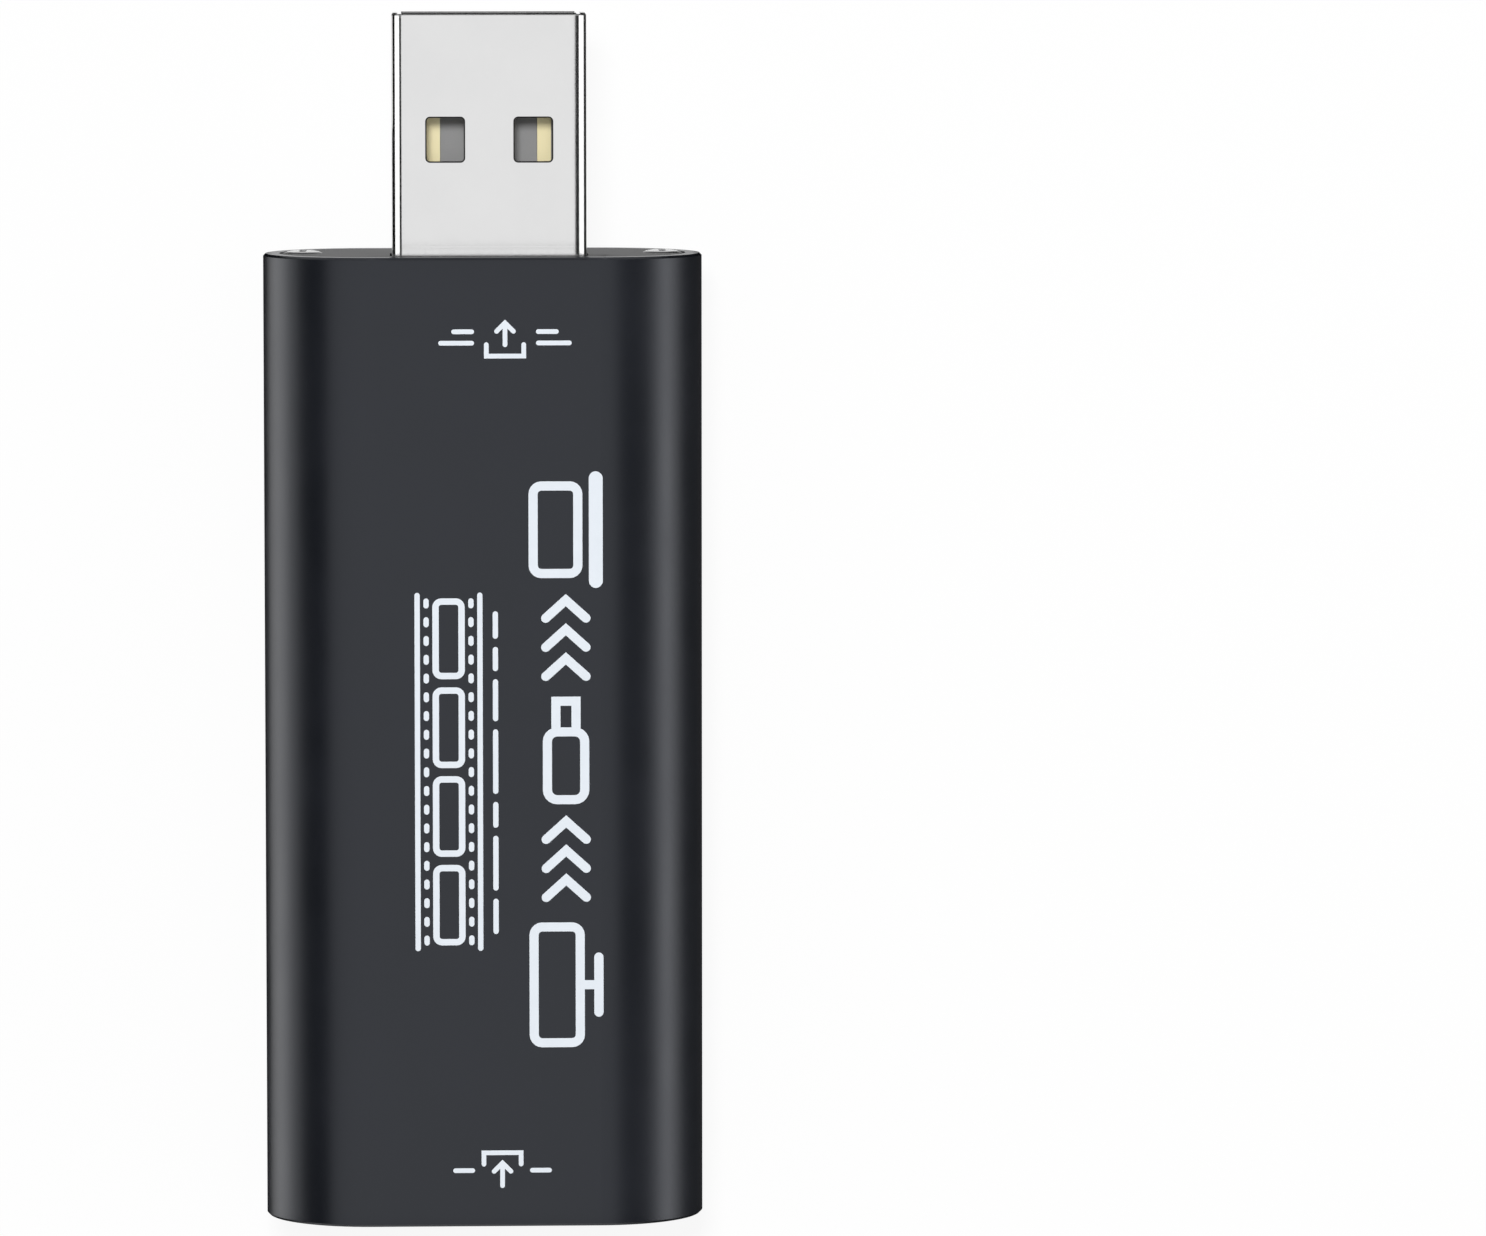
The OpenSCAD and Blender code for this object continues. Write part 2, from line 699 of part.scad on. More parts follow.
module memory_chip_leads() {
    color("#c4c5c8") translate([memory_x, memory_y, board_top]) both_sides()
        for (i = [0 : 3]) lead(memory_w / 2, row_x(i, 4, memory_pitch), memory_t);
}

// Puts its children at each voltage regulator
module at_regulators() {
    for (i = [0, 1]) translate([-chip_w / 2 + row_x(i, 2, regulator_spacing), regulator_y, board_top]) children();
}

module voltage_regulators() {
    color("#232427") at_regulators() translate([0, 0, lead_lift])
        chip_body(regulator_l, regulator_w, regulator_t - lead_lift);
}

// Two leads on one long side of each regulator and one on the other
module regulator_leads() {
    color("#c4c5c8") at_regulators() rotate(90) {
        lead(regulator_w / 2, 0, regulator_t);
        mirror([1, 0, 0]) for (side = [-1, 1]) lead(regulator_w / 2, side * regulator_pitch, regulator_t);
    }
}

// Ceramic base with a smaller metal lid
module crystal() {
    lid = crystal_t / 3;
    color("#b5b6b8") translate([-chip_side, chip_y + chip_w / 2 + row_gap + crystal_w / 2, board_top]) {
        translate([-crystal_l / 2, -crystal_w / 2, 0]) cube([crystal_l, crystal_w, crystal_t - lid]);
        along_z(0, crystal_t)
            rounded(rectangle(crystal_l - 2 * lid, lid - crystal_w / 2, crystal_w / 2 - lid), lid);
    }
}

// Small two-ended part along X: a body between two metal caps that stand on the board
module capped_part(size) {
    translate([-size.x / 2, cap_step - size.y / 2, cap_step])
        cube([size.x, size.y - 2 * cap_step, size.z - 2 * cap_step]);
    both_sides() translate([size.x / 2 - cap_l, -size.y / 2, 0]) cube([cap_l, size.y, size.z]);
}

module surge_arrays() {
    spacing = socket_w / surge_count;
    color("#232427") for (i = [0 : surge_count - 1])
        translate([row_x(i, surge_count, spacing), surge_y, board_top])
            chip_body(surge_size.x, surge_size.y, surge_size.z);
}

module resistors() {
    spacing = socket_w / surge_count;
    color("#2b2c30") for (i = [0 : surge_count - 1])
        translate([row_x(i, surge_count, spacing), resistor_y, board_top]) capped_part(resistor_size);
}

module capacitors() {
    color("#a98a5f") both_sides() for (i = [0 : 3])
        translate([chip_side, chip_y + row_x(i, 4, row_pitch), board_top]) capped_part(capacitor_size);
}

module ferrite_beads() {
    color("#3a3a3e") for (i = [0, 1])
        translate([chip_w / 2 + row_x(i, 2, bead_size.x + row_gap / 2), regulator_y, board_top]) capped_part(bead_size);
}

housing();
plug_end_plate();
socket_end_plate();
plug_end_screws();
socket_end_screws();
plug_shell();
plug_insulator();
plug_contact_power();
plug_contact_data_minus();
plug_contact_data_plus();
plug_contact_ground();
socket_shell();
socket_insulator();
socket_upper_contacts();
socket_lower_contacts();
circuit_board();
capture_chip();
memory_chip();
memory_chip_leads();
crystal();
voltage_regulators();
regulator_leads();
surge_arrays();
ferrite_beads();
capacitors();
resistors();
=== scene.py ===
import json
import math
import bpy
import numpy as np
from mathutils import Matrix, Vector


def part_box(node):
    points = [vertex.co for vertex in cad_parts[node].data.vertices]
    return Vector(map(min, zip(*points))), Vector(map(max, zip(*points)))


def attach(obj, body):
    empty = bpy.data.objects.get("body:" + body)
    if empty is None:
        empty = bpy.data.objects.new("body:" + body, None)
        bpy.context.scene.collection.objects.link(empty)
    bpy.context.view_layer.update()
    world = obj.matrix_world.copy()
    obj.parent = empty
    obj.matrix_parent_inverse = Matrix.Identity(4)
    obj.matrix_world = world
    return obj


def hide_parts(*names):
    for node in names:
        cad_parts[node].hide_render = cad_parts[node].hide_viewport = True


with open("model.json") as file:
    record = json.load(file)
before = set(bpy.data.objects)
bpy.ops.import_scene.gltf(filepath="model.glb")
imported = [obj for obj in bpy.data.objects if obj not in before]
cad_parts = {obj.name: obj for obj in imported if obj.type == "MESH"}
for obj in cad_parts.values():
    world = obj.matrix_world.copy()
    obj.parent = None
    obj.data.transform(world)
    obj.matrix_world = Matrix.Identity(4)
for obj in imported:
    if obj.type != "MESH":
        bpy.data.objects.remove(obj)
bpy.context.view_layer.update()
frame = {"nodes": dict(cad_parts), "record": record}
nodes = frame["nodes"]
mm = 0.001

sleeveLow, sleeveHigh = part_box("housing")
sleeveMiddle = (sleeveLow + sleeveHigh) / 2
print("frame loaded:", len(nodes), "nodes")


# Camera, fitted to the sleeve's outline: turns about the sleeve's middle, then a shift in the picture
cameraView = {
    "pitch": 0.0862,
    "yaw": 0.0436,
    "roll": 0.0004,
    "right": -16.149 * mm,
    "up": -7.22 * mm,
    "distance": 600 * mm,
    "clipStart": 60 * mm,
    "focalPixels": 9630.7,
    "imageWidth": 1486,
    "sensorWidth": 36.0,
}


def placeCamera(view, target):
    # Camera turn is the transpose of roll x pitch x yaw, and its place is that turn of the shift
    turn = Matrix.Rotation(view["roll"], 3, "Z") @ Matrix.Rotation(view["pitch"], 3, "X")
    turn = (turn @ Matrix.Rotation(view["yaw"], 3, "Y")).transposed()
    data = bpy.data.cameras.new("photoCamera")
    data.sensor_fit = "HORIZONTAL"
    data.sensor_width = view["sensorWidth"]
    data.lens = view["sensorWidth"] * view["focalPixels"] / view["imageWidth"]
    data.clip_start = view["clipStart"]
    camera = bpy.data.objects.new("photoCamera", data)
    bpy.context.scene.collection.objects.link(camera)
    shift = turn @ Vector((-view["right"], -view["up"], view["distance"]))
    camera.matrix_world = Matrix.Translation(target + shift) @ turn.to_4x4()
    bpy.context.scene.camera = camera


placeCamera(cameraView, sleeveMiddle)
bpy.context.scene.view_settings.view_transform = "Standard"
print("camera placed")


# Small helpers for meshes and shader nodes
def meshObject(name, points, faces, material, smooth=True):
    mesh = bpy.data.meshes.new(name)
    mesh.from_pydata(np.asarray(points).tolist(), [], [list(f) for f in faces])
    mesh.polygons.foreach_set("use_smooth", np.full(len(mesh.polygons), smooth))
    mesh.materials.append(material)
    mesh.update()
    piece = bpy.data.objects.new(name, mesh)
    bpy.context.scene.collection.objects.link(piece)
    return piece


def addNode(tree, kind, inputs=None, **settings):
    # Inputs are given by name or number, as a value or as the socket that feeds them
    node = tree.nodes.new(kind)
    for key, value in settings.items():
        setattr(node, key, value)
    for key, value in (inputs or {}).items():
        if isinstance(value, bpy.types.NodeSocket):
            tree.links.new(value, node.inputs[key])
        else:
            node.inputs[key].default_value = value
    return node


def mathNode(tree, operation, *values):
    return addNode(tree, "ShaderNodeMath", dict(enumerate(values)), operation=operation).outputs[0]


def mixTones(tree, share, first, second):
    mix = addNode(tree, "ShaderNodeMix", {0: share, 6: first, 7: second}, data_type="RGBA")
    return mix.outputs[2]


def rgba(tone):
    return (*tone, 1.0)


def newGroup(name, inputs, outputs):
    # Sockets are given as name to default value: a number, a colour of four or a vector of three
    kinds = {1: "NodeSocketFloat", 3: "NodeSocketVector", 4: "NodeSocketColor"}
    tree = bpy.data.node_groups.new(name, "ShaderNodeTree")
    for sockets, side in ((inputs, "INPUT"), (outputs, "OUTPUT")):
        for key, value in sockets.items():
            socket = tree.interface.new_socket(key, in_out=side, socket_type=kinds[np.size(value)])
            socket.default_value = value
    return tree, addNode(tree, "NodeGroupInput").outputs, addNode(tree, "NodeGroupOutput").inputs


# Group for a fine even surface: grain for bump, and soft patches that shift tone and roughness
def buildFineSurface():
    tree, given, made = newGroup(
        "fineSurface",
        {
            "Coordinates": (0, 0, 0), "Grain Scale": 9000.0, "Patch Scale": 150.0,
            "Dark Tone": (0, 0, 0, 1), "Pale Tone": (1, 1, 1, 1), "Smooth": 0.3, "Dull": 0.4,
        },
        {"Tone": (1, 1, 1, 1), "Roughness": 0.5, "Height": 0.5},
    )
    grain = addNode(tree, "ShaderNodeTexNoise", {
        "Vector": given["Coordinates"], "Scale": given["Grain Scale"], "Detail": 3.0, "Roughness": 0.6,
    }).outputs[0]
    patch = addNode(tree, "ShaderNodeTexNoise", {
        "Vector": given["Coordinates"], "Scale": given["Patch Scale"], "Detail": 4.0, "Roughness": 0.55,
    }).outputs[0]
    spread = addNode(tree, "ShaderNodeMapRange", {
        "Value": patch, "From Min": 0.35, "From Max": 0.65,
    }).outputs[0]
    blend = mathNode(tree, "MULTIPLY_ADD", grain, 0.4, mathNode(tree, "MULTIPLY", spread, 0.6))
    rough = addNode(tree, "ShaderNodeMapRange", {
        "Value": blend, "To Min": given["Smooth"], "To Max": given["Dull"],
    }).outputs[0]
    tree.links.new(mixTones(tree, blend, given["Dark Tone"], given["Pale Tone"]), made["Tone"])
    tree.links.new(rough, made["Roughness"])
    tree.links.new(grain, made["Height"])
    return tree


# Group for rolled or drawn metal: the same noise, pulled long along one axis
def buildDrawnLines():
    tree, given, made = newGroup(
        "drawnLines",
        {
            "Coordinates": (0, 0, 0), "Squeeze": (30000, 600, 30000), "Smooth": 0.1, "Dull": 0.2,
        },
        {"Roughness": 0.2, "Height": 0.5},
    )
    pulled = addNode(tree, "ShaderNodeVectorMath", {
        0: given["Coordinates"], 1: given["Squeeze"],
    }, operation="MULTIPLY").outputs[0]
    lines = addNode(tree, "ShaderNodeTexNoise", {
        "Vector": pulled, "Scale": 1.0, "Detail": 3.0, "Roughness": 0.6,
    }).outputs[0]
    rough = addNode(tree, "ShaderNodeMapRange", {
        "Value": lines, "From Min": 0.3, "From Max": 0.7,
        "To Min": given["Smooth"], "To Max": given["Dull"],
    }).outputs[0]
    tree.links.new(rough, made["Roughness"])
    tree.links.new(lines, made["Height"])
    return tree


fineSurface = buildFineSurface()
drawnLines = buildDrawnLines()


def newMaterial(name):
    material = bpy.data.materials.new(name)
    material.use_nodes = True
    tree = material.node_tree
    shader = tree.nodes["Principled BSDF"]
    coordinates = addNode(tree, "ShaderNodeTexCoord").outputs["Object"]
    return material, tree, shader, coordinates


def addBump(tree, shader, height, depth, strength=1.0):
    bump = addNode(tree, "ShaderNodeBump", {"Height": height, "Distance": depth, "Strength": strength})
    tree.links.new(bump.outputs[0], shader.inputs["Normal"])


def setConstants(shader, constants):
    for key, value in constants.items():
        shader.inputs[key].default_value = value


# Plain finishes: two tones, the range of roughness, the grain and the shader's own constants
def fineFinish(name, look):
    material, tree, shader, coordinates = newMaterial(name)
    surface = addNode(tree, "ShaderNodeGroup", node_tree=fineSurface)
    for key in ("Grain Scale", "Patch Scale", "Smooth", "Dull"):
        surface.inputs[key].default_value = look[key]
    surface.inputs["Dark Tone"].default_value = rgba(look["tones"][0])
    surface.inputs["Pale Tone"].default_value = rgba(look["tones"][1])
    tree.links.new(coordinates, surface.inputs["Coordinates"])
    tree.links.new(surface.outputs["Tone"], shader.inputs["Base Color"])
    tree.links.new(surface.outputs["Roughness"], shader.inputs["Roughness"])
    addBump(tree, shader, surface.outputs["Height"], look["bump"])
    setConstants(shader, look["constants"])
    return material


def metalFinish(name, look):
    material, tree, shader, coordinates = newMaterial(name)
    surface = addNode(tree, "ShaderNodeGroup", node_tree=fineSurface)
    lines = addNode(tree, "ShaderNodeGroup", node_tree=drawnLines)
    surface.inputs["Grain Scale"].default_value = look["Grain Scale"]
    surface.inputs["Patch Scale"].default_value = look["Patch Scale"]
    surface.inputs["Dark Tone"].default_value = rgba(look["tones"][0])
    surface.inputs["Pale Tone"].default_value = rgba(look["tones"][1])
    for key in ("Squeeze", "Smooth", "Dull"):
        lines.inputs[key].default_value = look[key]
    for group in (surface, lines):
        tree.links.new(coordinates, group.inputs["Coordinates"])
    tree.links.new(surface.outputs["Tone"], shader.inputs["Base Color"])
    tree.links.new(lines.outputs["Roughness"], shader.inputs["Roughness"])
    addBump(tree, shader, lines.outputs["Height"], look["bump"])
    setConstants(shader, {"Metallic": look.get("metal", 1.0)})
    return material


fineLooks = {
    "black_anodised": {
        "tones": ((0.0045, 0.0055, 0.008), (0.0065, 0.0075, 0.011)), "Smooth": 0.3, "Dull": 0.36,
        "Grain Scale": 12000.0, "Patch Scale": 160.0, "bump": 0.0006 * mm,
        "constants": {"IOR": 1.52, "Specular Tint": (0.9, 0.93, 1.0, 1.0)},
    },
    "black_plate": {
        "tones": ((0.006, 0.0065, 0.0075), (0.009, 0.0095, 0.0105)), "Smooth": 0.54, "Dull": 0.6,
        "Grain Scale": 9000.0, "Patch Scale": 200.0, "bump": 0.0012 * mm, "constants": {"IOR": 1.5},
    },
    "grey_moulding": {
        "tones": ((0.275, 0.275, 0.277), (0.315, 0.315, 0.317)), "Smooth": 0.45, "Dull": 0.55,
        "Grain Scale": 7000.0, "Patch Scale": 300.0, "bump": 0.002 * mm, "constants": {"IOR": 1.5},
    },
    "black_moulding": {
        "tones": ((0.015, 0.015, 0.017), (0.022, 0.022, 0.025)), "Smooth": 0.4, "Dull": 0.5,
        "Grain Scale": 7000.0, "Patch Scale": 300.0, "bump": 0.002 * mm, "constants": {"IOR": 1.5},
    },
    "white_ink": {
        "tones": ((0.76, 0.81, 0.87), (0.8, 0.85, 0.91)), "Smooth": 0.5, "Dull": 0.6,
        "Grain Scale": 11000.0, "Patch Scale": 700.0, "bump": 0.001 * mm, "constants": {"IOR": 1.45},
    },
    "chip_moulding": {
        "tones": ((0.014, 0.014, 0.016), (0.024, 0.024, 0.026)), "Smooth": 0.5, "Dull": 0.62,
        "Grain Scale": 14000.0, "Patch Scale": 500.0, "bump": 0.004 * mm, "constants": {"IOR": 1.5},
    },
}
metalLooks = {
    "plug_nickel": {
        "tones": ((0.74, 0.74, 0.742), (0.765, 0.765, 0.765)), "Smooth": 0.12, "Dull": 0.18,
        "Grain Scale": 3000.0, "Patch Scale": 250.0, "Squeeze": (22000, 500, 22000), "bump": 0.0001 * mm,
    },
    "socket_nickel": {
        "tones": ((0.58, 0.58, 0.585), (0.64, 0.64, 0.64)), "Smooth": 0.18, "Dull": 0.28,
        "Grain Scale": 3000.0, "Patch Scale": 300.0, "Squeeze": (22000, 500, 22000), "bump": 0.0002 * mm,
    },
    "gold_plate": {
        "tones": ((0.97, 0.87, 0.53), (0.99, 0.89, 0.56)), "Smooth": 0.36, "Dull": 0.42,
        "Grain Scale": 5000.0, "Patch Scale": 600.0, "Squeeze": (26000, 900, 26000), "bump": 0.00004 * mm,
        "metal": 0.2,
    },
    "screw_steel": {
        "tones": ((0.6, 0.6, 0.605), (0.68, 0.68, 0.68)), "Smooth": 0.18, "Dull": 0.3,
        "Grain Scale": 5000.0, "Patch Scale": 900.0, "Squeeze": (9000, 9000, 9000), "bump": 0.0003 * mm,
    },
    # Dark tone of the window rims: painted shade for the shadow gaps and dark reflections along the openings'
    # edges
    "window_rim_painted_shade": {
        "tones": ((0.035, 0.035, 0.037), (0.06, 0.06, 0.062)), "Smooth": 0.32, "Dull": 0.46,
        "Grain Scale": 6000.0, "Patch Scale": 900.0, "Squeeze": (9000, 9000, 30000), "bump": 0.0006 * mm,
    },
    "tinned_metal": {
        "tones": ((0.56, 0.56, 0.58), (0.64, 0.64, 0.66)), "Smooth": 0.28, "Dull": 0.42,
        "Grain Scale": 6000.0, "Patch Scale": 900.0, "Squeeze": (12000, 12000, 12000), "bump": 0.0006 * mm,
    },
}
materials = {name: fineFinish(name, look) for name, look in fineLooks.items()}
materials.update({name: metalFinish(name, look) for name, look in metalLooks.items()})


# Lacquered board: long tracks under the lacquer, with bare tinned rims round the edge
boardLook = {
    "lacquer": (0.012, 0.075, 0.04), "track": (0.02, 0.12, 0.066), "bare": (0.5, 0.48, 0.4),
    "trackScale": 900.0, "trackGap": 0.12, "trackSoft": 0.2, "trackLength": 9.0, "trackPitch": 0.6,
    "trackDepth": 0.012 * mm, "rim": 0.5 * mm, "Smooth": 0.22, "Dull": 0.3,
}


def boardFinish(name, look):
    material, tree, shader, coordinates = newMaterial(name)
    low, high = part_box("circuit_board")
    middle, half = (low + high) / 2, (high - low) / 2
    surface = addNode(tree, "ShaderNodeGroup", {
        "Coordinates": coordinates, "Smooth": look["Smooth"], "Dull": look["Dull"],
    }, node_tree=fineSurface)
    tracks = addNode(tree, "ShaderNodeTexBrick", {
        "Vector": coordinates, "Scale": look["trackScale"], "Mortar Size": look["trackGap"],
        "Mortar Smooth": look["trackSoft"], "Brick Width": look["trackLength"],
        "Row Height": look["trackPitch"],
    }).outputs["Fac"]
    tone = mixTones(tree, tracks, rgba(look["lacquer"]), rgba(look["track"]))
    place = addNode(tree, "ShaderNodeSeparateXYZ", {0: addNode(tree, "ShaderNodeVectorMath", {
        0: coordinates, 1: middle}, operation="SUBTRACT").outputs[0]}).outputs
    # Bare rim where the distance to the nearest long edge is below the rim's width
    inside = mathNode(tree, "SUBTRACT", half.x, mathNode(tree, "ABSOLUTE", place[0]))
    bare = mathNode(tree, "LESS_THAN", inside, look["rim"])
    tree.links.new(mixTones(tree, bare, tone, rgba(look["bare"])), shader.inputs["Base Color"])
    tree.links.new(bare, shader.inputs["Metallic"])
    tree.links.new(surface.outputs["Roughness"], shader.inputs["Roughness"])
    addBump(tree, shader, tracks, look["trackDepth"])
    return material


# Small two-ended parts: a ceramic or resin body between tinned ends, found by the distance along X
# from the centre of the nearest part, so the row's first centre and its spacing are given
cappedLooks = {
    "ferrite": {"node": "ferrite_beads", "count": 2, "length": 2.0 * mm, "cap": 0.3 * mm,
                "tones": ((0.03, 0.03, 0.034), (0.06, 0.06, 0.065))},
    "capacitor_ceramic": {"node": "capacitors", "count": 2, "length": 1.6 * mm, "cap": 0.3 * mm,
                          "tones": ((0.3, 0.19, 0.1), (0.42, 0.29, 0.16))},
    "resistor_glaze": {"node": "resistors", "count": 4, "length": 1.6 * mm, "cap": 0.3 * mm,
                       "tones": ((0.012, 0.012, 0.016), (0.022, 0.022, 0.026))},
}
cappedShared = {
    "tin": (0.6, 0.6, 0.62), "bump": 0.003 * mm,
    "Grain Scale": 9000.0, "Patch Scale": 1200.0, "Smooth": 0.35, "Dull": 0.5,
}


def cappedFinish(name, look):
    material, tree, shader, coordinates = newMaterial(name)
    low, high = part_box(look["node"])
    spacing = (high.x - low.x - look["length"]) / (look["count"] - 1)
    surface = addNode(tree, "ShaderNodeGroup", {
        "Coordinates": coordinates, "Dark Tone": rgba(look["tones"][0]), "Pale Tone": rgba(look["tones"][1]),
    }, node_tree=fineSurface)
    for key in ("Grain Scale", "Patch Scale", "Smooth", "Dull"):
        surface.inputs[key].default_value = cappedShared[key]
    across = addNode(tree, "ShaderNodeSeparateXYZ", {0: coordinates}).outputs[0]
    fromFirst = mathNode(tree, "SUBTRACT", across, low.x + look["length"] / 2 - spacing / 2)
    fromCentre = mathNode(tree, "ABSOLUTE", mathNode(tree, "SUBTRACT", mathNode(
        tree, "FLOORED_MODULO", fromFirst, spacing), spacing / 2))
    capped = mathNode(tree, "GREATER_THAN", fromCentre, look["length"] / 2 - look["cap"])
    tone = mixTones(tree, capped, surface.outputs["Tone"], rgba(cappedShared["tin"]))
    tree.links.new(tone, shader.inputs["Base Color"])
    tree.links.new(capped, shader.inputs["Metallic"])
    tree.links.new(surface.outputs["Roughness"], shader.inputs["Roughness"])
    addBump(tree, shader, surface.outputs["Height"], cappedShared["bump"])
    return material


materials["board_lacquer"] = boardFinish("board_lacquer", boardLook)
materials.update({name: cappedFinish(name, look) for name, look in cappedLooks.items()})
nodeFinish = {row["node"]: row["material_slot"] for row in frame["record"]["subparts"]}
nodeFinish["resistors"] = "resistor_glaze"
for name, finish in nodeFinish.items():
    mesh = nodes[name].data
    mesh.materials.clear()
    mesh.materials.append(materials[finish])
print("materials set on", len(nodeFinish), "nodes")


# Print on the front: signs drawn as strokes of a thin ink film
printLook = {
    "sunk": 0.004 * mm,  # part of the film below the sleeve's face
    "proud": 0.004 * mm,
    "layer": 0.001 * mm,  # step between strokes that cross
    "layers": 3,
    "edge": 0.94,  # share of the width that is flat on top
    "endStart": 0.08,  # angle at which a round end begins, so that its tip isn't a single point
    "endSteps": 7,
    "cornerSteps": 6,
    "chevronLean": 0.45,
    "fineLine": 0.15,  # half widths in mm
    "filmLine": 0.17,
    "signalLine": 0.29,
}


def unit(vectors):
    return vectors / np.linalg.norm(vectors, axis=-1, keepdims=True)


def roundEnds(path, half):
    # Ends shrink as a circle: half width x sin(t) at half width x (1 - cos(t)) from the end
    t = np.linspace(printLook["endStart"], math.pi / 2, printLook["endSteps"])
    along, share = half * (1 - np.cos(t))[:, None], np.sin(t)
    first = path[0] + along * unit(path[1] - path[0])
    last = path[-1] + along[::-1] * unit(path[-2] - path[-1])
    shares = np.concatenate([share, np.ones(len(path) - 2), share[::-1]])
    return np.vstack([first, path[1:-1], last]), shares


def inkStroke(path, half, closed, top):
    # Flat bead carried along a path in X and Y: side vector is the mean of the two edges' normals,
    # lengthened at corners, and the section is a low trapezium from below the face up to top
    path = np.asarray(path, float)
    shares = np.ones(len(path))
    if not closed:
        path, shares = roundEnds(path, half)
    after = unit(np.roll(path, -1, axis=0) - path)
    if not closed:
        after[-1] = after[-2]
    before = np.roll(after, 1, axis=0)
    if not closed:
        before[0] = after[0]
    turned = [np.stack([-v[:, 1], v[:, 0]], axis=1) for v in (before, after)]
    side = (turned[0] + turned[1]) / (1 + np.sum(turned[0] * turned[1], axis=1, keepdims=True))
    side = side * (half * shares)[:, None]
    section = np.array([[1, 0], [printLook["edge"], 1], [-printLook["edge"], 1], [-1, 0]])
    low = sleeveHigh.z - printLook["sunk"]
    flat = path[:, None, :] + section[None, :, :1] * side[:, None, :]
    height = np.broadcast_to(low + section[:, 1] * (top - low), flat.shape[:2])
    return np.concatenate([flat, height[..., None]], axis=2), closed


def stroke(points, half, closed=False):
    return {"points": np.asarray(points, float), "half": half, "closed": closed}


def roundedBox(low, high, radius, half):
    # Closed path round a rectangle whose corners are quarter circles
    t = np.linspace(0, math.pi / 2, printLook["cornerSteps"])
    arc = radius * np.stack([np.cos(t), np.sin(t)], axis=1)
    (x0, y0), (x1, y1) = low, high
    corners = ((x1 - radius, y1 - radius, 1, 1), (x0 + radius, y1 - radius, -1, 1),
               (x0 + radius, y0 + radius, -1, -1), (x1 - radius, y0 + radius, 1, -1))
    parts = [np.array([x, y]) + arc[::(sx * sy)] * (sx, sy) for x, y, sx, sy in corners]
    return stroke(np.vstack(parts), half, closed=True)


def dashes(starts, lengths, level, half):
    return [stroke([[a, level], [a + n, level]], half) for a, n in zip(starts, lengths)]


def chevrons(places, reach, half):
    lean = reach * printLook["chevronLean"]
    return [stroke([[u - lean, reach], [u + lean, 0], [u - lean, -reach]], half) for u in places]


def outSign(half):
    # Arrow that rises out of a tray
    return [
        stroke([[-1.15, -0.15], [-1.15, -1.0], [1.15, -1.0], [1.15, -0.15]], half),
        stroke([[0, -0.45], [0, 1.0]], half),
        stroke([[-0.62, 0.42], [0, 1.04], [0.62, 0.42]], half),
    ]


def inSign(half):
    # Arrow that rises into a bracket
    return [
        stroke([[-1.15, 0.25], [-1.15, 1.1], [1.15, 1.1], [1.15, 0.25]], half),
        stroke([[0, -1.1], [0, 0.42]], half),
        stroke([[-0.62, -0.16], [0, 0.46], [0.62, -0.16]], half),
    ]


filmLook = {
    "reach": 11.1, "rail": 1.93,
    "holes": 19, "holeLevel": 1.38, "firstHole": -10.75, "holePitch": 1.16, "holeLength": 0.62,
    "frames": (-8.25, -2.75, 2.75, 8.25), "frameReach": 2.3, "frameHalf": 0.8, "corner": 0.35, "heavier": 1.2,
}


def filmSign(half):
    # Strip of film: two rails with holes, and four rounded frames between them
    look = filmLook
    reach, across, up = look["reach"], look["frameReach"], look["frameHalf"]
    strokes = [stroke([[-reach, v], [reach, v]], half) for v in (-look["rail"], look["rail"])]
    starts = look["firstHole"] + look["holePitch"] * np.arange(look["holes"])
    for v in (-look["holeLevel"], look["holeLevel"]):
        strokes += dashes(starts, np.full(look["holes"], look["holeLength"]), v, half)
    heavy = half * look["heavier"]
    for u in look["frames"]:
        strokes.append(roundedBox((u - across, -up), (u + across, up), look["corner"], heavy))
    return strokes


def signalSign(half):
    # Screen, arrows, stick, arrows and laptop in one row
    return [
        roundedBox((-17.6, -0.85), (-10.4, 2.0), 0.5, half),
        stroke([[-14.0, -0.85], [-14.0, -2.0]], half),
        stroke([[-16.0, -2.0], [-12.0, -2.0]], half),
        *chevrons((-8.1, -6.3, -4.5), 1.45, half),
        roundedBox((-2.5, -1.15), (1.7, 1.15), 0.6, half),
        stroke([[1.7, 0.62], [3.6, 0.62], [3.6, -0.62], [1.7, -0.62]], half),
        *chevrons((5.6, 7.4, 9.2), 1.45, half),
        roundedBox((11.5, -0.75), (16.9, 2.0), 0.5, half),
        stroke([[10.6, -1.85], [17.8, -1.85]], half * 1.5),
    ]


fine, film, signal = [printLook[key] for key in ("fineLine", "filmLine", "signalLine")]
ruleStarts = (-10, -7.3, -3.4, -1.3, 3.2, 6.3, 8.3)
ruleLengths = (2.2, 3.4, 1.6, 4.0, 2.6, 1.5, 1.7)
# Each sign's middle on the face, from the sleeve's middle, and the turn that points its top to -X
signs = (
    {"name": "outPrint", "middle": (1.26, 24.95), "turned": False,
     "strokes": [
         *outSign(fine),
         *dashes((-4.1, 1.9), (2.2, 2.2), -0.2, fine),
         *dashes((-3.3, 1.9), (1.4, 1.4), 0.5, fine),
     ]},
    {"name": "inPrint", "middle": (0.98, -26.5), "turned": False,
     "strokes": [*inSign(fine), *dashes((-3.05, 1.7), (1.35, 1.35), 0.0, fine)]},
    {"name": "filmPrint", "middle": (-2.26, -1.72), "turned": True, "strokes": filmSign(film)},
    {"name": "rulePrint", "middle": (0.62, -1.78), "turned": True,
     "strokes": dashes(ruleStarts, ruleLengths, 0.0, film)},
    {"name": "signalPrint", "middle": (4.96, -0.96), "turned": True, "strokes": signalSign(signal)},
)


